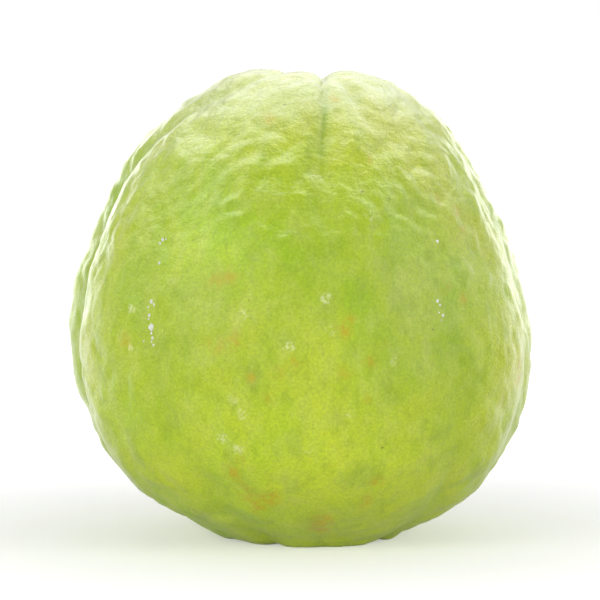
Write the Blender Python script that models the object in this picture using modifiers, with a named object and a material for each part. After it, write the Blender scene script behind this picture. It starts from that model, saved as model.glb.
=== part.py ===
"""A whole guava, standing on its blossom end.

Blender 4.5, metres, +Z up, origin under the middle of the fruit on the surface that it stands on.
Run it with blender --background --python part.py, or from Blender's text editor.

The fruit is one closed solid. A UV sphere is moved onto a profile turned about a slightly leaning axis, with long
grooves between its lobes. The stub of the stalk, the calyx ring and its dried sepals are joined on by Boolean union.
"""

import math

import bmesh
import bpy
import numpy as np

MM = 0.001

# Half of the fruit's outline as (radius, height) in millimetres: from the floor of the stem pit over the shoulder
# and the widest place to the foot that it stands on, then up into the basin around the calyx.
PROFILE = (
    (0.0, 87.6), (4.0, 88.0), (7.4, 90.8), (11.0, 93.3), (15.6, 92.6), (22.4, 88.6), (30.8, 80.0),
    (37.4, 69.4), (42.7, 57.8), (45.9, 46.4), (46.5, 36.6), (44.5, 25.6), (40.1, 16.0), (33.0, 7.8),
    (24.0, 2.3), (17.0, -0.9), (12.0, 1.4), (8.5, 4.6), (4.2, 6.6), (0.0, 7.0),
)

# Where the middle of each cross-section lies: (share of the way down the profile, x, y) in millimetres.
LEAN = (
    (0.0, 0.4, -3.0), (0.12, 0.6, -2.8), (0.25, -0.4, -2.0), (0.5, -0.3, 0.0), (0.7, 0.5, 0.0),
    (0.85, 1.4, 0.0), (1.0, 2.4, 0.0),
)

# How deep the fruit is, front to back, as a share of its width.
DEPTH_SHARE = 0.98

# The grooves between the lobes. Each has its azimuths in degrees (0 at the front, on -Y, growing towards +X), its
# half width in degrees and its depths in millimetres. Azimuths and depths hold at the shares in GROOVE_LEVELS.
GROOVE_LEVELS = (0.09, 0.20, 0.50, 0.84)
GROOVES = (
    ((-20, -62, -82, -80), 7, (0.7, 0.9, 3.4, 1.8)),
    ((-60, -46, -40, -22), 7, (0.0, 0.5, 0.8, 1.0)),
    ((14, 9, 6, 8), 4, (1.1, 1.3, 0.4, 0.2)),
    ((20, 28, 38, 50), 6, (0.5, 0.8, 0.8, 0.8)),
    ((60, 66, 74, 72), 6, (0.6, 0.3, 0.8, 0.7)),
    ((90, 92, 92, 88), 8, (0.8, 1.2, 1.5, 0.9)),
    ((125, 128, 128, 126), 9, (1.3, 1.4, 1.2, 1.2)),
    ((170, 168, 165, 164), 9, (1.3, 1.5, 1.1, 1.2)),
    ((208, 206, 204, 206), 9, (1.2, 1.4, 1.2, 1.2)),
    ((250, 251, 251, 248), 8, (1.3, 1.5, 1.3, 1.0)),
)
GROOVE_SHARPNESS = 1.5
GROOVES_FADE_IN = 0.07
GROOVES_FADE_OUT = 0.10

# Broad swellings and hollows: azimuth, share of the way down, half width in degrees, half length as a share of the
# profile, and height in millimetres (below zero for a hollow).
SWELLINGS = (
    (180, 0.10, 95, 0.09, -2.6),
    (-95, 0.19, 30, 0.05, -0.7),
    (95, 0.12, 40, 0.05, -0.8),
    (-75, 0.81, 30, 0.05, -0.7),
    (85, 0.84, 30, 0.04, -1.0),
    (-95, 0.50, 7, 0.16, 0.9),
    (-100, 0.54, 13, 0.06, 0.4),
    (0, 0.10, 30, 0.05, -0.5),
    (-58, 0.10, 12, 0.05, 0.6),
    (44, 0.88, 20, 0.05, -0.6),
    (-46, 0.88, 20, 0.05, -0.8),
    (-18, 0.325, 9, 0.05, 1.0),
    (-40, 0.300, 9, 0.05, 0.9),
    (33, 0.315, 9, 0.05, 1.1),
    (3, 0.285, 7, 0.045, -0.6),
)

SIDES = 88
RINGS = 48
RING_CROWDING = 0.35  # how much closer together the rings lie at the two ends than in the middle

STUB_RADIUS_FOOT = 2.4
STUB_RADIUS_TOP = 1.8
STUB_HEIGHT = 3.0
STUB_ROOT = 2.0

CALYX_RING_RADIUS = 4.6
CALYX_RING_THICKNESS = 1.0
SEPALS = 5
SEPAL_LENGTH = 5.6
SEPAL_ROOT_WIDTH = 4.4
SEPAL_TIP_WIDTH = 1.8
SEPAL_THICKNESS = 0.9
SEPAL_ROOT = 0.9
SEPAL_LEAN = 28
SEPAL_CURL = 34

SKIN_COLOUR = (0.38, 0.49, 0.06, 1.0)
SKIN_ROUGHNESS = 0.45


def clear_scene():
    for old in list(bpy.data.objects):
        bpy.data.objects.remove(old, do_unlink=True)


def new_collection(name):
    collection = bpy.data.collections.new(name)
    bpy.context.scene.collection.children.link(collection)
    return collection


def skin_material():
    material = bpy.data.materials.new("guava_skin")
    material.use_nodes = True
    shader = material.node_tree.nodes["Principled BSDF"]
    shader.inputs["Base Color"].default_value = SKIN_COLOUR
    shader.inputs["Roughness"].default_value = SKIN_ROUGHNESS
    shader.inputs["Metallic"].default_value = 0.0
    material.diffuse_color = SKIN_COLOUR
    return material


def smooth_curve(stations, values, at):
    """A curve through values at the stations, as cubic pieces that share their slopes."""
    stations = np.asarray(stations, float)
    values = np.asarray(values, float)
    slopes = np.gradient(values, stations, axis=0)
    piece = np.clip(np.searchsorted(stations, at, side="right") - 1, 0, len(stations) - 2)
    length = stations[piece + 1] - stations[piece]
    s = np.clip((at - stations[piece]) / length, 0, 1)
    if values.ndim > 1:
        s, length = s[..., None], length[..., None]
    start = (1 + 2 * s) * (1 - s) ** 2 * values[piece] + s * (1 - s) ** 2 * length * slopes[piece]
    end = s * s * (3 - 2 * s) * values[piece + 1] + s * s * (s - 1) * length * slopes[piece + 1]
    return start + end


def profile_point(share):
    """Radius and height at a share of the way along the profile, which is mirrored at the axis to end level."""
    points = np.array(PROFILE)
    mirror = np.array((-1.0, 1.0))
    points = np.vstack([points[1] * mirror, points, points[-2] * mirror])
    along = np.concatenate([[0], np.cumsum(np.linalg.norm(np.diff(points, axis=0), axis=1))])
    along = (along - along[1]) / (along[-2] - along[1])
    return smooth_curve(along, points, share)


def profile_normal(share):
    step = 1e-3
    along = profile_point(share + step) - profile_point(share - step)
    along /= np.linalg.norm(along, axis=-1, keepdims=True)
    return np.stack([-along[..., 1], along[..., 0]], axis=-1)


def ease(x):
    x = np.clip(x, 0, 1)
    return x * x * (3 - 2 * x)


def turn_between(azimuth, other):
    return (azimuth - other + 180) % 360 - 180


def relief(azimuth, share):
    """How far the skin stands out from the turned profile, in millimetres."""
    height = np.zeros_like(azimuth)
    for azimuths, half_width, depths in GROOVES:
        middle = smooth_curve(GROOVE_LEVELS, azimuths, share)
        depth = smooth_curve(GROOVE_LEVELS, depths, share)
        away = np.abs(turn_between(azimuth, middle)) / half_width
        height -= depth * np.exp(-(away**GROOVE_SHARPNESS))
    height *= ease(share / GROOVES_FADE_IN) * ease((1 - share) / GROOVES_FADE_OUT)
    for middle, level, half_width, half_length, rise in SWELLINGS:
        across = turn_between(azimuth, middle) / half_width
        along = (share - level) / half_length
        height += rise * np.exp(-(across**2) - along**2)
    return height


def skin_point(azimuth, share):
    """A point of the skin in millimetres, flattened where the fruit stands."""
    point = profile_point(share) + profile_normal(share) * relief(azimuth, share)[..., None]
    lean = np.array(LEAN)
    middle = smooth_curve(lean[:, 0], lean[:, 1:], share)
    angle = np.radians(azimuth)
    x = middle[..., 0] + point[..., 0] * np.sin(angle)
    y = middle[..., 1] - point[..., 0] * np.cos(angle) * DEPTH_SHARE
    return np.stack([x, y, np.maximum(point[..., 1], 0)], axis=-1)


def at_axis(share):
    """The point of the skin on the fruit's own axis: share 0 is the stem pit, share 1 the calyx floor."""
    return skin_point(np.zeros(1), np.full(1, float(share)))[0]


def add_object(name, mesh_builder, collection, material):
    """A mesh object from a bmesh, shaded smooth."""
    mesh = bpy.data.meshes.new(name)
    bmesh.ops.recalc_face_normals(mesh_builder, faces=mesh_builder.faces)
    mesh_builder.to_mesh(mesh)
    mesh_builder.free()
    mesh.shade_smooth()
    mesh.materials.append(material)
    made = bpy.data.objects.new(name, mesh)
    collection.objects.link(made)
    return made


def fruit(collection, material):
    """The fruit itself: a sphere whose rings are moved onto the profile."""
    bm = bmesh.new()
    bmesh.ops.create_uvsphere(bm, u_segments=SIDES, v_segments=RINGS, radius=1.0)
    on_sphere = np.array([v.co for v in bm.verts])
    azimuth = np.degrees(np.arctan2(on_sphere[:, 0], -on_sphere[:, 1]))
    ring = np.arccos(np.clip(on_sphere[:, 2], -1, 1)) / math.pi
    share = ring - RING_CROWDING * np.sin(2 * math.pi * ring) / (2 * math.pi)
    for vertex, place in zip(bm.verts, skin_point(azimuth, share) * MM):
        vertex.co = place
    return add_object("guava", bm, collection, material)


def stalk_stub(collection, material):
    """What is left of the cut stalk, rooted in the floor of the pit."""
    depth = STUB_ROOT + STUB_HEIGHT
    bm = bmesh.new()
    bmesh.ops.create_cone(
        bm, cap_ends=True, segments=16, depth=depth * MM,
        radius1=STUB_RADIUS_FOOT * MM, radius2=STUB_RADIUS_TOP * MM,
    )
    stub = add_object("stalk_stub", bm, collection, material)
    stub.location = at_axis(0) * MM
    stub.location.z += (depth / 2 - STUB_ROOT) * MM
    return stub


def calyx_ring(collection, material):
    """The low ring that the sepals stand on, a turned circle."""
    bpy.ops.mesh.primitive_torus_add(
        major_segments=30, minor_segments=10,
        major_radius=CALYX_RING_RADIUS * MM, minor_radius=CALYX_RING_THICKNESS * MM,
    )
    ring = bpy.context.object
    ring.name = "calyx_ring"
    ring.data.materials.append(material)
    for other in list(ring.users_collection):
        other.objects.unlink(ring)
    collection.objects.link(ring)
    ring.location = at_axis(1) * MM
    return ring


def sepal(number, collection, material):
    """One dried sepal: a tapered leaf that leans outward as it hangs from the ring, thickened to a plate."""
    bm = bmesh.new()
    bmesh.ops.create_grid(bm, x_segments=4, y_segments=6, size=0.5)
    for vertex in bm.verts:
        along = vertex.co.y + 0.5
        width = SEPAL_ROOT_WIDTH + (SEPAL_TIP_WIDTH - SEPAL_ROOT_WIDTH) * along**1.5
        lean = math.radians(SEPAL_LEAN + SEPAL_CURL * along / 2)
        reach = along * (SEPAL_LENGTH + SEPAL_ROOT) - SEPAL_ROOT
        vertex.co = (
            vertex.co.x * width * MM,
            -(CALYX_RING_RADIUS + reach * math.sin(lean)) * MM,
            -reach * math.cos(lean) * MM,
        )
    made = add_object(f"sepal_{number}", bm, collection, material)
    made.location = at_axis(1) * MM
    made.rotation_euler.z = 2 * math.pi * number / SEPALS
    plate = made.modifiers.new("plate", "SOLIDIFY")
    plate.thickness = SEPAL_THICKNESS * MM
    plate.offset = 0.0
    return made


def join_to(target, additions):
    """Join everything in a collection to the target by Boolean union, and keep the originals out of sight."""
    union = target.modifiers.new("grown_together", "BOOLEAN")
    union.operation = "UNION"
    union.solver = "EXACT"
    union.operand_type = "COLLECTION"
    union.collection = additions
    for piece in additions.objects:
        piece.hide_render = True
        piece.display_type = "WIRE"


def centre_on_origin(target, pieces):
    """Move all the pieces together, on one empty, so that the middle of the target's box is over the origin."""
    corners = np.array(target.bound_box)
    middle = (corners.min(axis=0) + corners.max(axis=0)) / 2
    base = bpy.data.objects.new("base", None)
    bpy.context.scene.collection.objects.link(base)
    base.location = (-middle[0], -middle[1], 0)
    for piece in pieces:
        piece.parent = base


def main():
    clear_scene()
    parts = new_collection("guava")
    additions = new_collection("cutters")
    material = skin_material()
    whole = fruit(parts, material)
    stalk_stub(additions, material)
    calyx_ring(additions, material)
    for number in range(SEPALS):
        sepal(number, additions, material)
    join_to(whole, additions)
    centre_on_origin(whole, [whole, *additions.objects])


main()
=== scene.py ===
"""The looks of the guava: its skin as one finely modelled mesh, the cut stalk, the dried calyx, the beads of
dried sap, white as painted glints, and a pale studio.
"""

import math

import bmesh
import bpy
import numpy as np
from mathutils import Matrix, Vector, noise
from mathutils.bvhtree import BVHTree


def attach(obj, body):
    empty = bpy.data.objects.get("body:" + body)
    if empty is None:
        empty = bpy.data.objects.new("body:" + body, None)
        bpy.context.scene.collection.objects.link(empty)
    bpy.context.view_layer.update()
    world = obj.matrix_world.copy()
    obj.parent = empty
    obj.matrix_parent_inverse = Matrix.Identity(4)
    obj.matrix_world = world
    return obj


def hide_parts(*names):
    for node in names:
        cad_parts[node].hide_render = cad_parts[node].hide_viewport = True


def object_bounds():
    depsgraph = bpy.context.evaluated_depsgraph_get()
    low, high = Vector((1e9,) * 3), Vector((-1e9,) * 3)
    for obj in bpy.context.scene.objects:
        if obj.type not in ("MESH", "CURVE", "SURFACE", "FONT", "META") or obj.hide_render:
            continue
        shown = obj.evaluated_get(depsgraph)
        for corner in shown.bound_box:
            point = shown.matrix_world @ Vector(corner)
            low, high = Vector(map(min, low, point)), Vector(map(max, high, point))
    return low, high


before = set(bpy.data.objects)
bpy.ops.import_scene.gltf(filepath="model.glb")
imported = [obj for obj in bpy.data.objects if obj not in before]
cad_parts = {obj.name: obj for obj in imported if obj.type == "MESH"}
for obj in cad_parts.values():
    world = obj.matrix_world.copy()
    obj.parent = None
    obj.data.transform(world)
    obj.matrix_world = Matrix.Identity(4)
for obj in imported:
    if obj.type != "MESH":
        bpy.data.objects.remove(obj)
cad_low, cad_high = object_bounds()

MM = 0.001

# --- the fruit's form, in millimetres and degrees, as in the CAD ---

# Half of the outline as (radius, height): stem pit, shoulder, widest place, foot, and the calyx's basin.
PROFILE = (
    (0.0, 87.6), (4.0, 88.0), (7.4, 90.8), (11.0, 93.3), (15.6, 92.6), (22.4, 88.6), (30.8, 80.0),
    (37.4, 69.4), (42.7, 57.8), (45.9, 46.4), (46.5, 36.6), (44.5, 25.6), (40.1, 16.0), (33.0, 7.8),
    (24.0, 2.3), (17.0, -0.9), (12.0, 1.4), (8.5, 4.6), (4.2, 6.6), (0.0, 7.0),
)

# Where the middle of each cross-section lies: (share of the way down the profile, x, y).
LEAN = (
    (0.0, 0.4, -3.0), (0.12, 0.6, -2.8), (0.25, -0.4, -2.0), (0.5, -0.3, 0.0), (0.7, 0.5, 0.0),
    (0.85, 1.4, 0.0), (1.0, 2.4, 0.0),
)
DEPTH_SHARE = 0.98

# The grooves between the lobes: azimuths (0 at the front, growing towards +X), half width and depths.
GROOVE_LEVELS = (0.09, 0.20, 0.50, 0.84)
GROOVES = (
    ((-20, -62, -82, -80), 7, (0.7, 0.9, 3.4, 1.8)),
    ((-60, -46, -40, -22), 7, (0.0, 0.5, 0.8, 1.0)),
    ((14, 9, 6, 8), 4, (1.1, 1.3, 0.4, 0.2)),
    ((20, 28, 38, 50), 6, (0.5, 0.8, 0.8, 0.8)),
    ((60, 66, 74, 72), 6, (0.6, 0.3, 0.8, 0.7)),
    ((90, 92, 92, 88), 8, (0.8, 1.2, 1.5, 0.9)),
    ((125, 128, 128, 126), 9, (1.3, 1.4, 1.2, 1.2)),
    ((170, 168, 165, 164), 9, (1.3, 1.5, 1.1, 1.2)),
    ((208, 206, 204, 206), 9, (1.2, 1.4, 1.2, 1.2)),
    ((250, 251, 251, 248), 8, (1.3, 1.5, 1.3, 1.0)),
)
GROOVE_SHARPNESS = 1.5
GROOVES_FADE_IN = 0.07
GROOVES_FADE_OUT = 0.10
# The groove below gets a line of painted shade along its bottom, and the constants after it give that line's
# size and place.
CREASED_GROOVE = 2  # which of the grooves is sharp at its bottom
CREASE_HALF_WIDTH = 0.45
CREASE_MIDDLE = 0.21
CREASE_HALF_LENGTH = 0.06
SEARCHED = (0.1, 0.9)  # shares of the way down between which a mark's height is looked for
SEARCH_STEPS = 20

# Broad swellings and hollows: azimuth, share of the way down, half width, half length and height.
SWELLINGS = (
    (180, 0.10, 95, 0.09, -2.6),
    (-95, 0.19, 30, 0.05, -0.7),
    (95, 0.12, 40, 0.05, -0.8),
    (-75, 0.81, 30, 0.05, -0.7),
    (85, 0.84, 30, 0.04, -1.0),
    (-95, 0.50, 7, 0.16, 0.9),
    (-100, 0.54, 13, 0.06, 0.4),
    (0, 0.10, 30, 0.05, -0.5),
    (-58, 0.10, 12, 0.05, 0.6),
    (44, 0.88, 20, 0.05, -0.6),
    (-46, 0.88, 20, 0.05, -0.8),
    (-18, 0.325, 9, 0.05, 1.0),
    (-40, 0.300, 9, 0.05, 0.9),
    (33, 0.315, 9, 0.05, 1.1),
    (3, 0.285, 7, 0.045, -0.6),
)

# --- the fine relief of the skin: (wavelength, height) of each layer of lumps, in millimetres ---

LUMPS = ((13.0, 0.45), (6.0, 0.40), (2.0, 0.08))
BILLOWS = ((6.8, 0.55), (3.7, 0.34))  # rounded bumps with creases between them
BILLOW_MEAN = 0.2
LAYER_SHIFT = (7.3, 3.1, 1.7)  # how far the noise of one layer lies from that of the next
CALM_DEPTH = 0.5  # how much of the relief is lost low down at the front and back, where the skin is smoother
CALM_HALF_WIDTH = 48
CALM_BELOW = (36.0, 64.0)
LIVELY_HEIGHT = 75.0  # where the relief is strongest, on the upper flanks
LIVELY_HALF_LENGTH = 12.0
LIVELY_SHARE = 0.3
FOLDS_FROM = 9  # azimuth of the front groove, which the slanting folds lean away from on both sides
FOLD_LENGTH = 4.5
FOLD_WIDTH = 1.7
FOLD_DEPTH = 0.32
FOLD_SLOPE = 0.55
FOLDS_START = 7.0  # how far from that groove they reach their depth
FOLDS_HEIGHT = 70.0
FOLDS_HALF_LENGTH = 13.0
FOLDS_SIDE_LOSS = 0.7  # the share of their depth that is lost towards the sides
FOLDS_SIDE_FROM = 42.0
FOLDS_SIDE_WIDTH = 28.0

SIDE_CELLS = 128  # cells along a side of the cube that the skin's mesh is spread from

# --- orange-brown blush on the skin: (azimuth, height, half width in millimetres, strength) ---

BLUSH = (
    (10, 45, 1.3, 1.3), (12, 47, 0.9, 0.9), (16, 39, 1.2, 0.8), (19, 42, 1.0, 0.6), (-2, 39, 1.2, 0.9),
    (-6, 37, 1.2, 0.8), (-12, 36, 1.2, 1.1), (-16, 43, 1.8, 0.8), (-21, 42, 1.6, 0.8), (10, 37, 1.4, 0.6),
    (-8, 32, 0.9, 0.8), (-18, 13, 1.6, 1.3), (-20, 17, 1.4, 1.2), (-16, 10, 1.3, 1.4), (-11, 12, 1.7, 1.5),
    (5, 6, 1.9, 2.6), (20, 15, 1.4, 1.0), (18, 11, 1.4, 1.0), (-17, 20, 1.0, 0.6), (15, 32, 1.0, 0.6),
    (-48, 42, 1.4, 1.2), (-18, 55, 1.6, 0.9), (-22, 54, 1.5, 0.8), (-14, 84, 1.6, 0.6), (15, 88, 1.0, 0.8),
    (23, 77, 1.0, 0.9), (45, 69, 0.9, 1.0), (51, 66, 1.1, 1.0), (51, 63, 0.8, 0.9), (39, 52, 1.0, 0.7),
    (44, 50, 1.1, 0.9), (66, 36, 1.0, 1.2), (67, 33, 1.3, 1.2), (59, 30, 0.9, 1.2),
    (128, 48, 2.4, 1.0), (163, 30, 2.6, 0.9), (171, 34, 1.5, 0.9), (205, 58, 2.0, 0.9), (232, 36, 2.4, 1.0),
    (262, 62, 1.8, 0.9), (148, 66, 1.8, 0.9), (120, 22, 1.6, 0.9), (278, 30, 1.6, 0.9),
)

# Broad areas where the skin is lighter, as the blush. The ones low at the front and on the upper left are
# painted light, standing in for the bounce from the floor and the light from the left; the rest are lighter
# tone in the skin.
PAINTED_LIGHT_AND_LIGHTER = (
    (0, 22, 11.0, 0.8), (-24, 22, 11.0, 0.9), (22, 19, 10.0, 0.6), (-16, 60, 6.0, 0.9), (-30, 61, 7.0, 1.0),
    (8, 43, 6.0, 0.5), (38, 62, 6.0, 0.5), (-50, 24, 7.0, 0.6), (160, 45, 10.0, 0.8), (215, 30, 9.0, 0.9),
    (110, 60, 8.0, 0.7), (260, 50, 8.0, 0.8),
)

# Areas where the green gives way to straw yellow, as the blush.
RIPER = (
    (47, 64, 7.0, 0.45), (60, 60, 9.0, 0.6), (68, 36, 9.0, 1.0), (48, 76, 8.0, 0.8), (35, 84, 6.0, 0.6),
    (-66, 40, 6.0, 0.6), (-60, 62, 6.0, 0.4), (135, 35, 10.0, 0.8), (200, 72, 9.0, 0.7),
    (240, 40, 9.0, 0.8),
)

# Pale flecks, as the blush.
FLECKS = (
    (-14, 48, 1.1, 0.8), (-3, 42, 1.2, 1.0), (7, 45, 1.4, 0.6), (-17, 32, 1.1, 0.9), (-15, 29, 1.3, 0.8),
    (-21, 24, 1.4, 1.0), (-17, 22, 1.3, 1.0), (1, 22, 1.8, 0.5), (22, 39, 1.2, 0.6), (6, 51, 1.4, 0.9),
    (5, 74, 1.6, 0.8), (20, 66, 1.9, 0.6), (11, 29, 1.5, 0.5), (-46, 40.5, 0.8, 1.2), (-46.5, 48, 1.0, 1.2),
    (140, 60, 1.8, 0.8), (158, 38, 1.6, 0.9), (187, 25, 2.0, 0.9), (222, 50, 1.7, 0.8), (95, 30, 1.8, 0.7),
)

# Small dark specks: (azimuth, height, radius).
SPECKS = (
    (-9, 87.0, 0.24), (19, 71.0, 0.30), (33, 44.6, 0.25), (20, 22.2, 0.25), (101, 55.0, 0.30),
    (172, 45.0, 0.25), (196, 70.0, 0.30), (228, 30.0, 0.25), (275, 62.0, 0.25),
)
SPECK_EDGE = 0.1
RAGGED_SCALE = 2.2  # how fine the raggedness of a speck's outline is, and how far it strays
RAGGED_REACH = 0.9

# Beads of dried sap, white as painted glints, most of them in two short rows beside the front: (azimuth,
# height, radius).
BEADS = (
    (-41.0, 61.2, 0.32), (-41.6, 60.5, 0.22), (-39.9, 61.4, 0.16), (-40.0, 56.8, 0.26), (-40.6, 49.5, 0.36),
    (-39.4, 49.0, 0.24), (-41.4, 48.4, 0.20), (-40.9, 46.9, 0.30), (-41.0, 46.2, 0.18), (-39.9, 44.7, 0.58),
    (-39.8, 43.5, 0.24), (-39.4, 42.6, 0.30), (-39.6, 41.9, 0.18), (-39.0, 41.3, 0.26), (-42.0, 41.9, 0.16),
    (40.0, 61.0, 0.28), (35.6, 49.8, 0.30), (36.2, 49.0, 0.20), (35.4, 47.6, 0.16), (36.6, 47.0, 0.30),
    (36.0, 46.2, 0.18), (127, 52.0, 0.40), (128, 49.5, 0.32), (126, 44.0, 0.42), (206, 58.0, 0.40),
    (205, 55.0, 0.30), (244, 40.0, 0.42),
)
BEAD_SPREAD = 1.2
BEAD_THICKNESS = 0.6
BEAD_LENGTH = 1.25  # how many times as long as it is wide, and how much that varies
BEAD_LENGTH_VARIES = 0.35
BEAD_UNEVENNESS = 0.30
BEAD_SHIFT = (1.9, 0.7, 2.9)  # how far the noise of one bead lies from that of the next
DROP_CELLS = 6

# --- the cut stalk and the dried calyx, in millimetres and degrees ---

# The stalk's stub as (radius, height above the floor of the pit), from its root to the pith in its cut face.
STUB_PROFILE = (
    (2.2, -1.4), (2.9, -0.2), (2.5, 0.4), (2.15, 1.2), (1.95, 2.2), (1.85, 2.8), (1.6, 3.0), (1.1, 2.9),
    (0.55, 2.8), (0.3, 2.55),
)
STUB_SIDES = 64
STUB_RINGS = 40
STUB_FIBRES = 0.10  # how far fibres, knots and the rough cut change the stub's shape
STUB_KNOTS = 0.14
STUB_ROUGHNESS = 0.5
CUT_FROM = 4.5  # the station of the stub's profile where the cut face begins

CALYX_RING_RADIUS = 4.6
CALYX_RING_THICKNESS = 1.0
CALYX_RING_SIDES = 96
CALYX_TUBE_SIDES = 28
CALYX_LUMPS = 0.35
SEPALS = 5
SEPAL_LENGTH = 5.6
SEPAL_ROOT = 0.9
SEPAL_ROOT_WIDTH = 4.4
SEPAL_TIP_WIDTH = 1.8
SEPAL_THICKNESS = 0.8
SEPAL_LEAN = 28
SEPAL_CURL = 34
SEPAL_SWAY = 6
SEPAL_WEAR = 0.30  # how uneven the edge is, how deep the crinkles are, and how hollow the leaf is
SEPAL_CRINKLE = 0.35
SEPAL_CUP = 0.10
SEPAL_SHIFT = (3.1, 1.7, 2.3)
SEPAL_CELLS = 20


def smooth_curve(stations, values, at):
    """A curve through values at the stations, as cubic pieces that share their slopes."""
    stations = np.asarray(stations, float)
    values = np.asarray(values, float)
    slopes = np.gradient(values, stations, axis=0)
    piece = np.clip(np.searchsorted(stations, at, side="right") - 1, 0, len(stations) - 2)
    length = stations[piece + 1] - stations[piece]
    s = np.clip((at - stations[piece]) / length, 0, 1)
    if values.ndim > 1:
        s, length = s[..., None], length[..., None]
    start = (1 + 2 * s) * (1 - s) ** 2 * values[piece] + s * (1 - s) ** 2 * length * slopes[piece]
    end = s * s * (3 - 2 * s) * values[piece + 1] + s * s * (s - 1) * length * slopes[piece + 1]
    return start + end


def profile_point(share):
    """Radius and height at a share of the way along the profile, which is mirrored to end level."""
    points = np.array(PROFILE)
    mirror = np.array((-1.0, 1.0))
    points = np.vstack([points[1] * mirror, points, points[-2] * mirror])
    along = np.concatenate([[0], np.cumsum(np.linalg.norm(np.diff(points, axis=0), axis=1))])
    along = (along - along[1]) / (along[-2] - along[1])
    return smooth_curve(along, points, share)


def profile_normal(share):
    step = 1e-3
    along = profile_point(share + step) - profile_point(share - step)
    along /= np.linalg.norm(along, axis=-1, keepdims=True)
    return np.stack([-along[..., 1], along[..., 0]], axis=-1)


def ease(x):
    x = np.clip(x, 0, 1)
    return x * x * (3 - 2 * x)


def turn_between(azimuth, other):
    return (azimuth - other + 180) % 360 - 180


def groove_depth(azimuth, share):
    depth_there = np.zeros_like(azimuth)
    for azimuths, half_width, depths in GROOVES:
        middle = smooth_curve(GROOVE_LEVELS, azimuths, share)
        depth = smooth_curve(GROOVE_LEVELS, depths, share)
        away = np.abs(turn_between(azimuth, middle)) / half_width
        depth_there += depth * np.exp(-(away**GROOVE_SHARPNESS))
    return depth_there * ease(share / GROOVES_FADE_IN) * ease((1 - share) / GROOVES_FADE_OUT)


def crease_shade(azimuth, share):
    """Where a line of painted shade runs: 1 along the bottom of the groove at the front, where it is
    sharpest, and 0 a millimetre beside it.
    """
    middle = smooth_curve(GROOVE_LEVELS, GROOVES[CREASED_GROOVE][0], share)
    away = np.radians(turn_between(azimuth, middle)) * profile_point(share)[:, 0] / CREASE_HALF_WIDTH
    along = (share - CREASE_MIDDLE) / CREASE_HALF_LENGTH
    return np.exp(-(away**2) - along**2)


def swelling(azimuth, share):
    height = np.zeros_like(azimuth)
    for middle, level, half_width, half_length, rise in SWELLINGS:
        across = turn_between(azimuth, middle) / half_width
        along = (share - level) / half_length
        height += rise * np.exp(-(across**2) - along**2)
    return height


def skin_point(azimuth, share, extra=0.0):
    height = swelling(azimuth, share) - groove_depth(azimuth, share) + extra
    point = profile_point(share) + profile_normal(share) * height[..., None]
    lean = np.array(LEAN)
    middle = smooth_curve(lean[:, 0], lean[:, 1:], share)
    angle = np.radians(azimuth)
    x = middle[..., 0] + point[..., 0] * np.sin(angle)
    y = middle[..., 1] - point[..., 0] * np.cos(angle) * DEPTH_SHARE
    return np.stack([x, y, np.maximum(point[..., 1], 0)], axis=-1)


def place_at(azimuth, height):
    """The place on the skin at an azimuth and a height, in millimetres, found by halving."""
    upper, lower = SEARCHED
    for _ in range(SEARCH_STEPS):
        middle = (upper + lower) / 2
        place = skin_point(np.array([float(azimuth)]), np.array([middle]))[0]
        if place[2] > height:
            upper = middle
        else:
            lower = middle
    return tuple(place)


def cube_sphere(cells):
    """A unit sphere as a cube of cells x cells faces a side, with its cells spread evenly."""
    bm = bmesh.new()
    bmesh.ops.create_cube(bm, size=2.0)
    bmesh.ops.subdivide_edges(bm, edges=bm.edges, cuts=cells - 1, use_grid_fill=True)
    for vertex in bm.verts:
        x, y, z = (math.tan(c * math.pi / 4) for c in vertex.co)
        vertex.co = Vector((x, y, z)).normalized()
    return bm


def layer_of(places, wavelength, number):
    shift = Vector(LAYER_SHIFT) * number
    return np.array([noise.noise(Vector(place) / wavelength + shift) for place in places])


def lumps(azimuth, places):
    """How far the relief of the skin stands out, in millimetres, at places in millimetres."""
    out = np.zeros(len(places))
    for number, (wavelength, height) in enumerate(LUMPS):
        out += height * layer_of(places, wavelength, number)
    for number, (wavelength, height) in enumerate(BILLOWS, len(LUMPS)):
        out += height * (np.abs(layer_of(places, wavelength, number)) - BILLOW_MEAN)
    low, high = CALM_BELOW
    from_front = turn_between(2 * azimuth, 0) / 2
    calm = np.exp(-((from_front / CALM_HALF_WIDTH) ** 2)) * ease((high - places[:, 2]) / (high - low))
    lively = np.exp(-(((places[:, 2] - LIVELY_HEIGHT) / LIVELY_HALF_LENGTH) ** 2))
    return out * (1 - CALM_DEPTH * calm + LIVELY_SHARE * lively)


def folds(azimuth, places):
    """Slanting folds on the upper flanks, in millimetres."""
    height = places[:, 2]
    out = np.radians(np.abs(turn_between(azimuth, FOLDS_FROM))) * np.hypot(places[:, 0], places[:, 1])
    along = (out - FOLD_SLOPE * height) / math.hypot(1, FOLD_SLOPE)
    across = (FOLD_SLOPE * out + height) / math.hypot(1, FOLD_SLOPE)
    slanted = np.stack([along / FOLD_LENGTH, across / FOLD_WIDTH, 0 * out], axis=1)
    waves = np.array([noise.noise(Vector(place)) for place in slanted])
    there = np.exp(-(((height - FOLDS_HEIGHT) / FOLDS_HALF_LENGTH) ** 2))
    there *= 1 - np.exp(-((out / FOLDS_START) ** 2))
    from_front = np.abs(turn_between(2 * azimuth, 0)) / 2
    there *= 1 - FOLDS_SIDE_LOSS * ease((from_front - FOLDS_SIDE_FROM) / FOLDS_SIDE_WIDTH)
    return FOLD_DEPTH * waves * there


def near(azimuth, places, mark_azimuth, mark_height, half_width):
    """1 at a mark on the skin, falling off to 0 around it."""
    radius = np.hypot(places[:, 0], places[:, 1])
    across = np.radians(turn_between(azimuth, mark_azimuth)) * radius / half_width
    along = (places[:, 2] - mark_height) / half_width
    return np.exp(-(across**2) - along**2)


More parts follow.
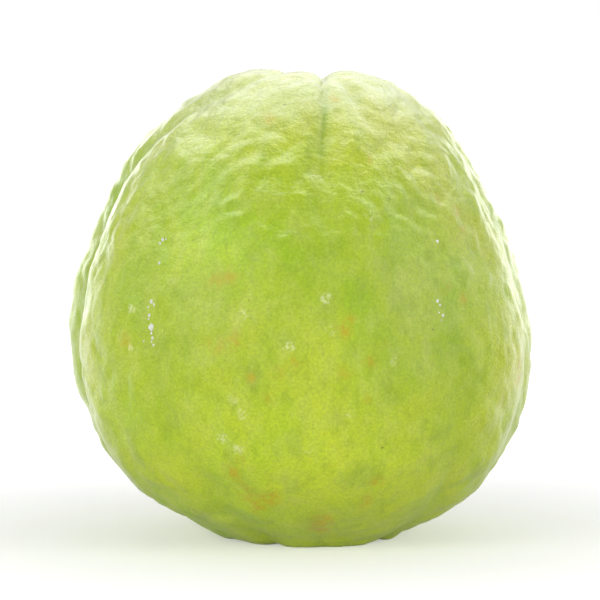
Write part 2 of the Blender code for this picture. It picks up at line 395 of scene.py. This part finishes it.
def strength_of(marks, azimuth, places):
    """The marks' strengths added up, at places on the skin."""
    return sum(strength * near(azimuth, places, *mark) for *mark, strength in marks)


def give_attribute(mesh, name, values):
    layer = mesh.attributes.new(name, "FLOAT", "POINT")
    layer.data.foreach_set("value", np.asarray(values, np.float32))


class Fit:
    """Takes places from the profile's millimetres to the frame, so that the skin just fills the CAD's box."""

    def __init__(self, places):
        self.low, self.high = places.min(axis=0), places.max(axis=0)

    def __call__(self, places):
        size = np.array(cad_high) - np.array(cad_low)
        return np.array(cad_low) + (np.asarray(places) - self.low) * size / (self.high - self.low)


def make_skin():
    bm = cube_sphere(SIDE_CELLS)
    on_sphere = np.array([v.co for v in bm.verts])
    azimuth = np.degrees(np.arctan2(on_sphere[:, 0], -on_sphere[:, 1]))
    share = np.arccos(np.clip(on_sphere[:, 2], -1, 1)) / math.pi
    smooth = skin_point(azimuth, share)
    relief = lumps(azimuth, smooth) + folds(azimuth, smooth)
    places = skin_point(azimuth, share, relief)
    fit = Fit(places)
    for vertex, place in zip(bm.verts, fit(places)):
        vertex.co = place
    surface = BVHTree.FromBMesh(bm)
    mesh = bpy.data.meshes.new("guava_skin")
    bm.to_mesh(mesh)
    bm.free()
    mesh.shade_smooth()
    give_attribute(mesh, "share", share)
    give_attribute(mesh, "groove", groove_depth(azimuth, share))
    give_attribute(mesh, "crease_shade", crease_shade(azimuth, share))
    for name, marks in (("blush", BLUSH), ("painted_light_and_lighter", PAINTED_LIGHT_AND_LIGHTER), ("riper", RIPER), ("flecks", FLECKS)):
        give_attribute(mesh, name, strength_of(marks, azimuth, smooth))
    skin = bpy.data.objects.new("guava_skin", mesh)
    bpy.context.scene.collection.objects.link(skin)
    return skin, surface, fit


# --- materials ---


class Finish:
    """A material and short ways to add nodes to its tree. Sizes are in millimetres."""

    def __init__(self, name, fit=None):
        self.fit = fit
        self.material = bpy.data.materials.new(name)
        self.material.use_nodes = True
        self.tree = self.material.node_tree
        self.shader = self.tree.nodes["Principled BSDF"]
        place = self.add("ShaderNodeTexCoord").outputs["Object"]
        self.place = self.vector("SCALE", {0: place, "Scale": 1 / MM})

    def feed(self, socket, value):
        if isinstance(value, bpy.types.NodeSocket):
            self.tree.links.new(value, socket)
        else:
            socket.default_value = value

    def add(self, kind, inputs=None, **settings):
        made = self.tree.nodes.new(kind)
        for name, value in settings.items():
            setattr(made, name, value)
        for name, value in (inputs or {}).items():
            self.feed(made.inputs[name], value)
        return made

    def vector(self, operation, inputs):
        return self.add("ShaderNodeVectorMath", inputs, operation=operation).outputs[0]

    def attribute(self, name):
        return self.add("ShaderNodeAttribute", attribute_name=name).outputs["Fac"]

    def math(self, operation, *values):
        made = self.add("ShaderNodeMath", operation=operation)
        for socket, value in zip(made.inputs, values):
            self.feed(socket, value)
        return made.outputs[0]

    def total(self, *values):
        result = values[0]
        for value in values[1:]:
            result = self.math("ADD", result, value)
        return result

    def step(self, value, low, high):
        """0 up to low, 1 from high, with a smooth rise between."""
        inputs = {"Value": value, "From Min": low, "From Max": high}
        return self.add("ShaderNodeMapRange", inputs, interpolation_type="SMOOTHSTEP").outputs["Result"]

    def spread(self, value, low, high):
        """A value from 0 to 1 stretched to lie between low and high."""
        inputs = {"Value": value, "To Min": low, "To Max": high}
        return self.add("ShaderNodeMapRange", inputs).outputs["Result"]

    def moved(self, offset, stretch=(1, 1, 1)):
        """The place, stretched and moved, so that layers of noise don't repeat each other."""
        inputs = {"Vector": self.place, "Location": offset, "Scale": stretch}
        return self.add("ShaderNodeMapping", inputs).outputs[0]

    def noise(self, size, detail=2.0, roughness=0.5, offset=(0, 0, 0), stretch=(1, 1, 1), distortion=0.0):
        inputs = {
            "Vector": self.moved(offset, stretch), "Scale": 1 / size, "Detail": detail,
            "Roughness": roughness, "Distortion": distortion,
        }
        return self.add("ShaderNodeTexNoise", inputs).outputs["Fac"]

    def cells(self, size, offset):
        """Scattered points: the distance to the nearest in cell sizes, and its random value."""
        inputs = {"Vector": self.moved(offset), "Scale": 1 / size}
        made = self.add("ShaderNodeTexVoronoi", inputs)
        lone = self.add("ShaderNodeSeparateColor", {0: made.outputs["Color"]}).outputs[0]
        return made.outputs["Distance"], lone

    def dots(self, size, radius, edge, rarity, offset=(0, 0, 0)):
        """Dots of a radius, both in cell sizes, in the share of cells whose random value is over rarity."""
        distance, lone = self.cells(size, offset)
        inside = self.math("SUBTRACT", 1.0, self.step(distance, radius - edge, radius + edge))
        return self.math("MULTIPLY", inside, self.math("GREATER_THAN", lone, rarity))

    def spots(self, surface, marks, edge):
        """1 within each mark's radius of its place on the surface, and 0 beyond a soft edge."""
        cloud = self.add("ShaderNodeTexNoise", {"Vector": self.place, "Scale": RAGGED_SCALE})
        strayed = self.vector("SUBTRACT", {0: cloud.outputs["Color"], 1: (0.5, 0.5, 0.5)})
        strayed = self.vector("SCALE", {0: strayed, "Scale": RAGGED_REACH})
        ragged = self.vector("ADD", {0: self.place, 1: strayed})
        inside = 0.0
        for azimuth, height, radius in marks:
            place = surface.find_nearest(Vector(self.fit(place_at(azimuth, height))))[0] / MM
            inputs = {0: ragged, 1: place}
            away = self.add("ShaderNodeVectorMath", inputs, operation="DISTANCE").outputs["Value"]
            here = self.math("SUBTRACT", 1.0, self.step(away, radius - edge, radius + edge))
            inside = self.math("MAXIMUM", here, inside)
        return inside

    def blend(self, share, first, second, how="MIX"):
        made = self.add("ShaderNodeMix", data_type="RGBA", blend_type=how)
        for index, value in ((0, share), (6, first), (7, second)):
            if isinstance(value, tuple):
                value = (*value, 1.0)
            self.feed(made.inputs[index], value)
        return made.outputs[2]

    def bump(self, height, depth, under=None):
        """A normal from a height between 0 and 1 that stands for a depth in millimetres."""
        inputs = {"Height": height, "Distance": depth * MM, "Strength": 1.0}
        if under is not None:
            inputs["Normal"] = under
        return self.add("ShaderNodeBump", inputs).outputs[0]


LEAF_GREEN = (0.378, 0.595, 0.004)
YELLOW_GREEN = (0.570, 0.685, 0.022)
DEEP_GREEN = (0.270, 0.430, 0.004)
OLIVE = (0.330, 0.500, 0.018)
PALE = (0.660, 0.740, 0.150)
AMBER = (0.630, 0.480, 0.004)
RUST = (0.460, 0.260, 0.006)
SPECK_BROWN = (0.130, 0.110, 0.030)
CORK = (0.260, 0.190, 0.080)
# Near-white sap for the beads: a painted highlight, standing in for glints.
SAP_PAINTED_GLINT = (0.990, 0.990, 0.960)
SAP_EDGE = (0.560, 0.720, 0.160)
PAINTED_SHEEN_AND_BLOOM = (0.790, 0.790, 0.450)
FLECK = (0.840, 0.900, 0.420)
# How much the listed areas are brightened: painted light low at the front and on the upper left, lighter tone
# elsewhere.
PAINTED_LIGHT_LIGHTENING = (1.20, 1.18, 1.45)
STRAW = (0.620, 0.640, 0.020)
GRAIN_DARK = (0.70, 0.74, 0.70)
GRAIN_LIGHT = (1.30, 1.26, 1.30)

# Flecks as (size, detail, roughness, offset, stretch, where they start and are full, share, colour).
FLECKING = (
    (5.5, 2.0, 0.5, (6, 2, 7), (1, 1, 0.7), 0.50, 0.72, 0.40, OLIVE),
    (2.6, 3.0, 0.6, (4, 4, 9), (1, 1, 0.6), 0.50, 0.72, 0.32, DEEP_GREEN),
    (3.8, 4.0, 0.7, (1, 7, 5), (1, 1, 0.6), 0.40, 0.75, 0.40, PALE),
)
PORES = (0.95, 0.20, 0.10, 0.35)  # the size of their cells, radius, edge and rarity

# Where the skin changes, as (from, to): heights in millimetres, and for the cork shares of the way down.
YELLOW_BELOW = (22.0, 66.0)
# The top is yellower partly in the skin and partly as painted warm sheen.
YELLOW_AND_WARM_SHEEN_ABOVE = (68.0, 84.0)
# Above these heights the top is whitened with painted sheen.
PAINTED_SHEEN_ABOVE = (76.0, 93.0)
DENTS_ABOVE = (50.0, 66.0)
CORK_IN_PIT = (0.015, 0.055)
CORK_IN_BASIN = (0.945, 0.985)

BARK_DARK = (0.085, 0.062, 0.030)
BARK_LIGHT = (0.300, 0.230, 0.110)
BARK_GREEN = (0.200, 0.230, 0.060)
WOOD_DARK = (0.280, 0.190, 0.090)
WOOD_LIGHT = (0.560, 0.440, 0.250)
CALYX_DARK = (0.055, 0.036, 0.016)
CALYX_LIGHT = (0.260, 0.185, 0.085)
CALYX_WORN = (0.430, 0.360, 0.200)
CALYX_GREEN = (0.190, 0.230, 0.045)


def ripeness_colour(f, height):
    """Leaf green to yellow green: yellower towards the foot and the top, the top's yellow partly painted warm
    sheen, and in broad patches; then lighter in the listed areas, some of them painted light.
    """
    low_down = f.math("SUBTRACT", 1.0, f.step(height, *YELLOW_BELOW))
    patches = f.noise(24.0, 1.0, offset=(3, 8, 2))
    mottle = f.noise(5.0, 4.0, 0.65, offset=(9, 1, 4), stretch=(1, 1, 0.55), distortion=0.4)
    hue = f.total(
        f.math("MULTIPLY", low_down, 0.35),
        f.math("MULTIPLY", f.step(height, *YELLOW_AND_WARM_SHEEN_ABOVE), 0.40),
        f.math("MULTIPLY", f.math("SUBTRACT", patches, 0.5), 1.3),
        f.math("MULTIPLY", f.math("SUBTRACT", mottle, 0.5), 1.3),
        0.33,
    )
    colour = f.blend(f.math("MAXIMUM", 0.0, f.math("MINIMUM", hue, 1.0)), LEAF_GREEN, YELLOW_GREEN)
    # Painted light: the listed areas low at the front and on the upper left are brightened as the floor's
    # bounce and the light from the left would brighten them.
    painted_light_and_lighter = f.math("MINIMUM", f.attribute("painted_light_and_lighter"), 1.0)
    colour = f.blend(painted_light_and_lighter, colour, f.blend(1.0, colour, PAINTED_LIGHT_LIGHTENING, "MULTIPLY"))
    riper = f.math("MINIMUM", f.attribute("riper"), 1.0)
    return f.blend(f.math("MULTIPLY", riper, 0.70), colour, STRAW)


def flecked(f, colour, height):
    """Dull, deep and pale green flecks, a whitish crown that is painted sheen from the light above as well as
    bloom, fine grain and pores.
    """
    for size, detail, roughness, offset, stretch, low, high, share, fleck_colour in FLECKING:
        fleck = f.step(f.noise(size, detail, roughness, offset=offset, stretch=stretch), low, high)
        colour = f.blend(f.math("MULTIPLY", fleck, share), colour, fleck_colour)
    # Painted sheen: the top is whitened as the reflection of the light above whitens it.
    colour = f.blend(f.math("MULTIPLY", f.step(height, *PAINTED_SHEEN_ABOVE), 0.34), colour, PAINTED_SHEEN_AND_BLOOM)
    glitter = f.step(f.noise(0.7, 2.0, 0.7, offset=(7, 7, 1)), 0.42, 0.62)
    flecks = f.math("MULTIPLY", f.attribute("flecks"), f.spread(glitter, 0.3, 1.0))
    colour = f.blend(f.math("MULTIPLY", f.step(flecks, 0.15, 0.75), 0.72), colour, FLECK)
    grain = f.blend(f.noise(0.5, 2.0, 0.6), GRAIN_DARK, GRAIN_LIGHT)
    colour = f.blend(1.0, colour, grain, "MULTIPLY")
    return f.blend(f.math("MULTIPLY", f.dots(*PORES), 0.22), colour, DEEP_GREEN)


def painted_groove_shade(f, colour):
    """Painted shade: deeper green in the grooves by their depth, and a broken line of painted shade along the
    bottom of the sharp one.
    """
    # Painted shade: the skin is darkened by how deep the groove is.
    groove_shade = f.step(f.attribute("groove"), 0.2, 1.8)
    colour = f.blend(f.math("MULTIPLY", groove_shade, 0.34), colour, DEEP_GREEN)
    broken = f.spread(f.step(f.noise(3.0, 2.0, 0.5, offset=(5, 5, 2)), 0.35, 0.60), 0.25, 0.75)
    return f.blend(f.math("MULTIPLY", f.attribute("crease_shade"), broken), colour, DEEP_GREEN)


def blushed(f, colour):
    """Amber blush broken into strokes, with rust grains inside it."""
    blush = f.attribute("blush")
    strokes = f.step(f.noise(1.8, 3.0, 0.65, offset=(2, 2, 6), stretch=(1, 1, 0.7)), 0.34, 0.62)
    amber = f.math("MINIMUM", f.math("MULTIPLY", blush, strokes), 1.0)
    colour = f.blend(f.math("MULTIPLY", amber, 0.75), colour, AMBER)
    grains = f.dots(0.8, 0.24, 0.12, 0.40, offset=(5, 1, 1))
    rust = f.math("MULTIPLY", grains, f.step(blush, 0.25, 0.9))
    return f.blend(f.math("MULTIPLY", rust, 0.40), colour, RUST)


def scarred(f, colour, surface):
    """Scattered scars and dark specks, and corky skin in the stem pit and around the calyx."""
    scars = f.dots(8.5, 0.028, 0.010, 0.75, offset=(8, 3, 3))
    scars = f.math("MAXIMUM", scars, f.spots(surface, SPECKS, SPECK_EDGE))
    colour = f.blend(f.math("MULTIPLY", scars, 0.6), colour, SPECK_BROWN)
    share = f.attribute("share")
    in_pit = f.math("SUBTRACT", 1.0, f.step(share, *CORK_IN_PIT))
    cork = f.math("MAXIMUM", in_pit, f.step(share, *CORK_IN_BASIN))
    cracked = f.step(f.noise(1.6, 4.0, 0.7, offset=(6, 6, 6)), 0.30, 0.60)
    return f.blend(f.math("MULTIPLY", cork, f.spread(cracked, 0.35, 0.95)), colour, CORK)


def skin_colour(f, surface):
    height = f.add("ShaderNodeSeparateXYZ", {0: f.place}).outputs[2]
    colour = ripeness_colour(f, height)
    colour = flecked(f, colour, height)
    colour = painted_groove_shade(f, colour)
    colour = blushed(f, colour)
    return scarred(f, colour, surface)


def skin_material(surface, fit):
    f = Finish("guava_skin", fit)
    f.feed(f.shader.inputs["Base Color"], skin_colour(f, surface))
    patchy = f.noise(2.4, 3.0, 0.6, offset=(7, 2, 2))
    f.feed(f.shader.inputs["Roughness"], f.spread(patchy, 0.34, 0.54))
    f.shader.inputs["IOR"].default_value = 1.5
    f.shader.inputs["Coat Weight"].default_value = 0.8
    f.shader.inputs["Coat Roughness"].default_value = 0.32
    f.shader.inputs["Coat IOR"].default_value = 1.5
    height = f.add("ShaderNodeSeparateXYZ", {0: f.place}).outputs[2]
    dents = f.noise(3.0, 3.0, 0.6, offset=(5, 2, 8), stretch=(1, 1, 1.7))
    dents = f.bump(f.math("MULTIPLY", dents, f.spread(f.step(height, *DENTS_ABOVE), 0.3, 1.0)), 0.30)
    ripples = f.bump(f.noise(1.5, 3.0, 0.6, offset=(3, 3, 3)), 0.15, dents)
    grain = f.bump(f.noise(0.6, 2.0, 0.6), 0.085, ripples)
    pores = f.bump(f.math("SUBTRACT", 1.0, f.dots(*PORES)), 0.02, grain)
    f.feed(f.shader.inputs["Normal"], pores)
    f.feed(f.shader.inputs["Coat Normal"], pores)
    return f.material


def sap_painted_glint_material():
    """Hardened sap, glossy and slightly uneven: milky white where it is thick, a painted glint, and clearer
    over its thin edge.
    """
    f = Finish("dried_sap_painted_glint")
    milky = f.noise(0.25, 2.0, 0.5)
    wavering = f.math("MULTIPLY", f.math("SUBTRACT", milky, 0.5), 0.8)
    thick = f.step(f.total(f.attribute("painted_glint_core"), wavering), 0.45, 0.80)
    f.feed(f.shader.inputs["Base Color"], f.blend(thick, SAP_EDGE, SAP_PAINTED_GLINT))
    f.feed(f.shader.inputs["Roughness"], f.spread(milky, 0.10, 0.26))
    f.feed(f.shader.inputs["Normal"], f.bump(f.noise(0.2, 2.0, 0.5, offset=(1, 2, 3)), 0.02))
    return f.material


def stalk_material():
    """Grey-brown bark with fibres along it, and a paler cut face on top."""
    f = Finish("cut_stalk")
    fibres = f.noise(0.7, 3.0, 0.6, stretch=(1, 1, 0.18))
    colour = f.blend(f.step(fibres, 0.35, 0.65), BARK_DARK, BARK_LIGHT)
    blotches = f.step(f.noise(1.8, 3.0, 0.6, offset=(4, 4, 4)), 0.48, 0.62)
    colour = f.blend(f.math("MULTIPLY", blotches, 0.5), colour, BARK_GREEN)
    cut = f.attribute("cut")
    rings = f.noise(0.45, 3.0, 0.6, offset=(2, 5, 1))
    colour = f.blend(cut, colour, f.blend(rings, WOOD_DARK, WOOD_LIGHT))
    f.feed(f.shader.inputs["Base Color"], colour)
    f.feed(f.shader.inputs["Roughness"], f.spread(fibres, 0.62, 0.85))
    f.feed(f.shader.inputs["Normal"], f.bump(fibres, 0.20, f.bump(f.noise(0.4, 3.0, 0.6), 0.08)))
    return f.material


def calyx_material():
    """Dry brown skin, wrinkled, with paler worn patches and some green left in it."""
    f = Finish("dried_calyx")
    wrinkles = f.noise(0.9, 4.0, 0.65, distortion=0.6)
    colour = f.blend(f.step(wrinkles, 0.34, 0.66), CALYX_DARK, CALYX_LIGHT)
    worn = f.step(f.noise(1.6, 3.0, 0.6, offset=(3, 1, 2)), 0.52, 0.68)
    colour = f.blend(f.math("MULTIPLY", worn, 0.55), colour, CALYX_WORN)
    green = f.step(f.noise(3.0, 2.0, 0.5, offset=(9, 1, 7)), 0.52, 0.70)
    colour = f.blend(f.math("MULTIPLY", green, 0.40), colour, CALYX_GREEN)
    f.feed(f.shader.inputs["Base Color"], colour)
    f.feed(f.shader.inputs["Roughness"], f.spread(wrinkles, 0.65, 0.90))
    f.feed(f.shader.inputs["Normal"], f.bump(wrinkles, 0.22, f.bump(f.noise(0.35, 3.0, 0.6), 0.06)))
    return f.material


# --- the cut stalk, the beads of sap and the dried calyx ---


def add_piece(name, bm, material):
    """A piece of the fruit from a bmesh, riding with it."""
    bmesh.ops.recalc_face_normals(bm, faces=bm.faces)
    mesh = bpy.data.meshes.new(name)
    bm.to_mesh(mesh)
    bm.free()
    mesh.shade_smooth()
    mesh.materials.append(material)
    piece = bpy.data.objects.new(name, mesh)
    bpy.context.scene.collection.objects.link(piece)
    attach(piece, "root")
    return piece


def on_axis(share, fit):
    """Where the skin meets the fruit's own axis: share 0 is the stem pit, share 1 the calyx floor."""
    return fit(skin_point(np.zeros(1), np.full(1, float(share))))[0] / MM


def make_stalk_stub(fit):
    """The stub as a lathe of its profile, with fibres along its sides and a rough cut."""
    floor = on_axis(0, fit)
    bm = bmesh.new()
    bmesh.ops.create_grid(bm, x_segments=STUB_SIDES, y_segments=STUB_RINGS, size=0.5)
    cut = []
    for vertex in bm.verts:
        angle = 2 * math.pi * (vertex.co.x + 0.5)
        along = (vertex.co.y + 0.5) * (len(STUB_PROFILE) - 1)
        radius, height = smooth_curve(range(len(STUB_PROFILE)), STUB_PROFILE, np.array([along]))[0]
        around = Vector((math.cos(angle), math.sin(angle), 0))
        fibre = noise.noise(around * 4.5 + Vector((0, 0, height * 0.25)))
        knots = noise.noise(around * 1.2 + Vector((5, 5, height * 0.5)))
        rough = noise.noise(around * radius * 1.6 + Vector((2, 7, 3)))
        radius *= 1 + STUB_FIBRES * fibre + STUB_KNOTS * knots
        on_top = max(0.0, (along - CUT_FROM) / (len(STUB_PROFILE) - 1 - CUT_FROM))
        cut.append(min(1.0, on_top * 2.5))
        height += STUB_ROUGHNESS * rough * min(1.0, on_top * 2)
        vertex.co = Vector((radius * around.x, radius * around.y, height))
        vertex.co = (vertex.co + Vector(floor)) * MM
    layer = bm.verts.layers.float.new("cut")
    for vertex, value in zip(bm.verts, cut):
        vertex[layer] = value
    bmesh.ops.remove_doubles(bm, verts=bm.verts, dist=1e-6)
    bmesh.ops.holes_fill(bm, edges=[edge for edge in bm.edges if edge.is_boundary], sides=0)
    return add_piece("stalk_stub", bm, stalk_material())


def make_painted_glint_beads(surface, fit):
    """Drops of dried sap, white to stand for glints, each a little uneven, longer than wide and sunk into the
    skin.
    """
    whole = bmesh.new()
    painted_glint_core = []
    for number, (azimuth, height, radius) in enumerate(BEADS):
        place, normal = surface.find_nearest(Vector(fit(place_at(azimuth, height))))[:2]
        seed = Vector(BEAD_SHIFT) * number
        drop = cube_sphere(DROP_CELLS)
        turned = normal.to_track_quat("Z", "Y")
        longer = BEAD_LENGTH + BEAD_LENGTH_VARIES * noise.noise(seed)
        for vertex in drop.verts:
            painted_glint_core.append(vertex.co.z)
            uneven = 1 + BEAD_UNEVENNESS * noise.noise(vertex.co * 1.4 + seed)
            shaped = Vector((vertex.co.x, vertex.co.y * longer, vertex.co.z * BEAD_THICKNESS))
            shaped = shaped * radius * uneven * MM
            vertex.co = place + turned @ (shaped * BEAD_SPREAD)
        drop_mesh = bpy.data.meshes.new("drop")
        drop.to_mesh(drop_mesh)
        drop.free()
        whole.from_mesh(drop_mesh)
        bpy.data.meshes.remove(drop_mesh)
    layer = whole.verts.layers.float.new("painted_glint_core")
    for vertex, value in zip(whole.verts, painted_glint_core):
        vertex[layer] = value
    return add_piece("sap_beads_painted_as_glints", whole, sap_painted_glint_material())


def make_calyx(fit):
    """The low lumpy ring in the basin, and the five dried sepals that stand on it, leaning outward."""
    floor = Vector(on_axis(1, fit))
    material = calyx_material()
    bm = bmesh.new()
    bmesh.ops.create_grid(bm, x_segments=CALYX_RING_SIDES, y_segments=CALYX_TUBE_SIDES, size=0.5)
    for vertex in bm.verts:
        turn, round_it = (2 * math.pi * (value + 0.5) for value in vertex.co[:2])
        around = Vector((math.cos(turn), math.sin(turn), math.cos(round_it)))
        lumpy = 1 + CALYX_LUMPS * noise.noise(around * 3.0)
        radius = CALYX_RING_RADIUS + CALYX_RING_THICKNESS * lumpy * math.cos(round_it)
        height = CALYX_RING_THICKNESS * lumpy * math.sin(round_it)
        vertex.co = (floor + Vector((radius * math.cos(turn), radius * math.sin(turn), height))) * MM
    bmesh.ops.remove_doubles(bm, verts=bm.verts, dist=1e-6)
    add_piece("calyx_ring", bm, material)
    for number in range(SEPALS):
        add_piece(f"sepal_{number}", sepal(number, floor), material)


def sepal(number, floor):
    """A leaf with a worn, crinkled edge, from a sphere drawn out along it and flattened."""
    bm = cube_sphere(SEPAL_CELLS)
    turn = 2 * math.pi * number / SEPALS
    seed = Vector(SEPAL_SHIFT) * number
    for vertex in bm.verts:
        along = 0.5 + math.asin(max(-1.0, min(1.0, vertex.co.z))) / math.pi
        across = Vector((vertex.co.x, vertex.co.y, 0))
        fullness = min(1.0, across.length / 0.55) ** 0.5
        across = across.normalized() * fullness if across.length > 1e-6 else across
        width = SEPAL_ROOT_WIDTH + (SEPAL_TIP_WIDTH - SEPAL_ROOT_WIDTH) * along**1.5
        edge = 1 + SEPAL_WEAR * noise.noise(Vector((across.x * 0.4, 0, along * 4)) + seed)
        x = across.x * width / 2 * edge
        crinkle = SEPAL_CRINKLE * noise.noise(Vector((x * 0.9, along * 3.2, 0)) + seed) * along
        cup = SEPAL_CUP * x * x / (width / 2)
        thick = across.y * SEPAL_THICKNESS / 2 * (1 - 0.5 * along) + crinkle - cup * along
        lean = math.radians(SEPAL_LEAN + SEPAL_CURL * along / 2 + SEPAL_SWAY * noise.noise(seed * 1.3))
        reach = along * (SEPAL_LENGTH + SEPAL_ROOT) - SEPAL_ROOT
        outward = CALYX_RING_RADIUS + reach * math.sin(lean) + thick * math.cos(lean)
        up = -reach * math.cos(lean) + thick * math.sin(lean)
        turned_x = x * math.cos(turn) - outward * math.sin(turn)
        turned_y = x * math.sin(turn) + outward * math.cos(turn)
        vertex.co = (floor + Vector((turned_x, turned_y, up))) * MM
    return bm


# --- the studio ---

CAMERA_ELEVATION = 5
CAMERA_DISTANCE = 0.8
CAMERA_TARGET = (0.0002, 0.0, 0.0470)
CAMERA_LENS = 240
CAMERA_SENSOR = 36

FLOOR_RADIUS = 6.0
FLOOR_NEAR = (0.80, 0.80, 0.80)
FLOOR_FAR = (0.35, 0.35, 0.35)
FLOOR_DIMS = (120.0, 420.0)  # how far from the middle the pale near part gives way to a dimmer one
FLOOR_SHINES = (-30.0, 120.0)  # from the front to the back, where its reflections in the skin brighten
FLOOR_SHINE = 1.25
FLOOR_WHITENS = (-120.0, 220.0)  # how far from the middle the floor fades to white for the camera

# The room's brightness as (from, to, brightness at from, brightness at to), for how far a direction points to
# the back and how far it points up. The two are multiplied.
BEHIND = (-0.4, 0.8, 0.18, 0.72)
ABOVE = (0.2, 0.9, 1.0, 0.4)

# Lights in metres and watts: panels seen only as sheen on the skin, and fills that only brighten it.
LIGHTS_AIM = (0, 0, 0.05)
PANELS = (
    ("sheen_panel", (0.05, 0.36, 1.05), (1.9, 1.9), 27),
    ("back_panel", (0.45, 1.5, 0.20), (1.1, 0.7), 2.8),
    ("left_rim_panel", (-0.52, 1.38, 0.05), (1.1, 0.8), 5.2),
    ("right_rim_panel", (0.82, 1.24, 0.10), (1.25, 0.9), 2.8),
    ("left_sheen_panel", (-1.15, -0.05, 0.95), (1.1, 0.9), 5.2),
    ("right_sheen_panel", (1.15, 0.15, 0.80), (0.9, 0.8), 2.0),
)
FILL_SIZE = (0.9, 0.9)
FILLS = (
    ("left_fill", (-0.9, -0.8, 0.33), 8.8),
    ("right_fill", (1.1, -0.6, 0.36), 8.0),
    ("front_fill", (0, -1.3, 0.12), 3.4),
)


def make_floor():
    mesh = bpy.data.meshes.new("floor")
    bm = bmesh.new()
    bmesh.ops.create_circle(bm, cap_ends=True, segments=64, radius=FLOOR_RADIUS)
    bm.to_mesh(mesh)
    bm.free()
    floor = bpy.data.objects.new("floor", mesh)
    bpy.context.scene.collection.objects.link(floor)
    f = Finish("floor")
    away = f.add("ShaderNodeVectorMath", {0: f.place}, operation="LENGTH").outputs["Value"]
    far = f.step(away, *FLOOR_DIMS)
    path = f.add("ShaderNodeLightPath")
    f.feed(f.shader.inputs["Base Color"], f.blend(far, FLOOR_NEAR, FLOOR_FAR))
    depth = f.add("ShaderNodeSeparateXYZ", {0: f.place}).outputs[1]
    shine = f.math("MULTIPLY", f.step(depth, *FLOOR_SHINES), FLOOR_SHINE)
    shine = f.math("MULTIPLY", shine, path.outputs["Is Glossy Ray"])
    white = f.step(away, *FLOOR_WHITENS)
    f.shader.inputs["Roughness"].default_value = 0.9
    f.shader.inputs["Specular IOR Level"].default_value = 0.0
    f.shader.inputs["Emission Color"].default_value = (1, 1, 1, 1)
    glow = f.add("ShaderNodeMix", {0: path.outputs["Is Camera Ray"], 2: shine, 3: white}).outputs[0]
    f.feed(f.shader.inputs["Emission Strength"], glow)
    mesh.materials.append(f.material)


def make_camera():
    scene = bpy.context.scene
    camera = bpy.data.cameras.new("camera")
    camera.lens = CAMERA_LENS
    camera.sensor_width = CAMERA_SENSOR
    made = bpy.data.objects.new("camera", camera)
    scene.collection.objects.link(made)
    scene.camera = made
    elevation = math.radians(CAMERA_ELEVATION)
    direction = Vector((0, -math.cos(elevation), math.sin(elevation)))
    made.location = Vector(CAMERA_TARGET) + direction * CAMERA_DISTANCE
    made.rotation_euler = (math.pi / 2 - elevation, 0, 0)


def ramp(tree, value, limits):
    """A smooth rise or fall, with limits as in BEHIND."""
    made = tree.nodes.new("ShaderNodeMapRange")
    made.interpolation_type = "SMOOTHSTEP"
    tree.links.new(value, made.inputs["Value"])
    for name, limit in zip(("From Min", "From Max", "To Min", "To Max"), limits):
        made.inputs[name].default_value = limit
    return made.outputs["Result"]


def make_world():
    """A pale room: dim around the camera, brighter behind, and plain white where the camera looks at it."""
    world = bpy.data.worlds.new("studio")
    bpy.context.scene.world = world
    world.use_nodes = True
    tree = world.node_tree
    tree.nodes.clear()
    place = tree.nodes.new("ShaderNodeTexCoord")
    split = tree.nodes.new("ShaderNodeSeparateXYZ")
    tree.links.new(place.outputs["Generated"], split.inputs[0])
    both = tree.nodes.new("ShaderNodeMath")
    both.operation = "MULTIPLY"
    tree.links.new(ramp(tree, split.outputs[1], BEHIND), both.inputs[0])
    tree.links.new(ramp(tree, split.outputs[2], ABOVE), both.inputs[1])
    path = tree.nodes.new("ShaderNodeLightPath")
    shown = tree.nodes.new("ShaderNodeMix")
    tree.links.new(path.outputs["Is Camera Ray"], shown.inputs["Factor"])
    tree.links.new(both.outputs[0], shown.inputs["A"])
    shown.inputs["B"].default_value = 1.0
    background = tree.nodes.new("ShaderNodeBackground")
    background.inputs["Color"].default_value = (1, 1, 1, 1)
    tree.links.new(shown.outputs["Result"], background.inputs["Strength"])
    output = tree.nodes.new("ShaderNodeOutputWorld")
    tree.links.new(background.outputs[0], output.inputs[0])


def make_light(name, location, size, power):
    light = bpy.data.lights.new(name, "AREA")
    light.shape = "ELLIPSE"
    light.size, light.size_y = size
    light.energy = power
    made = bpy.data.objects.new(name, light)
    bpy.context.scene.collection.objects.link(made)
    made.location = location
    made.rotation_euler = (Vector(LIGHTS_AIM) - Vector(location)).to_track_quat("-Z", "Y").to_euler()
    made.visible_camera = False
    return made


skin, surface, fit = make_skin()
skin.data.materials.append(skin_material(surface, fit))
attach(skin, "root")
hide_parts("guava")
make_stalk_stub(fit)
make_calyx(fit)
make_painted_glint_beads(surface, fit)

make_floor()
make_world()
make_camera()
for name, place, size, power in PANELS:
    make_light(name, place, size, power).visible_diffuse = False
for name, place, power in FILLS:
    make_light(name, place, FILL_SIZE, power).visible_glossy = False
bpy.context.scene.view_settings.view_transform = "Standard"
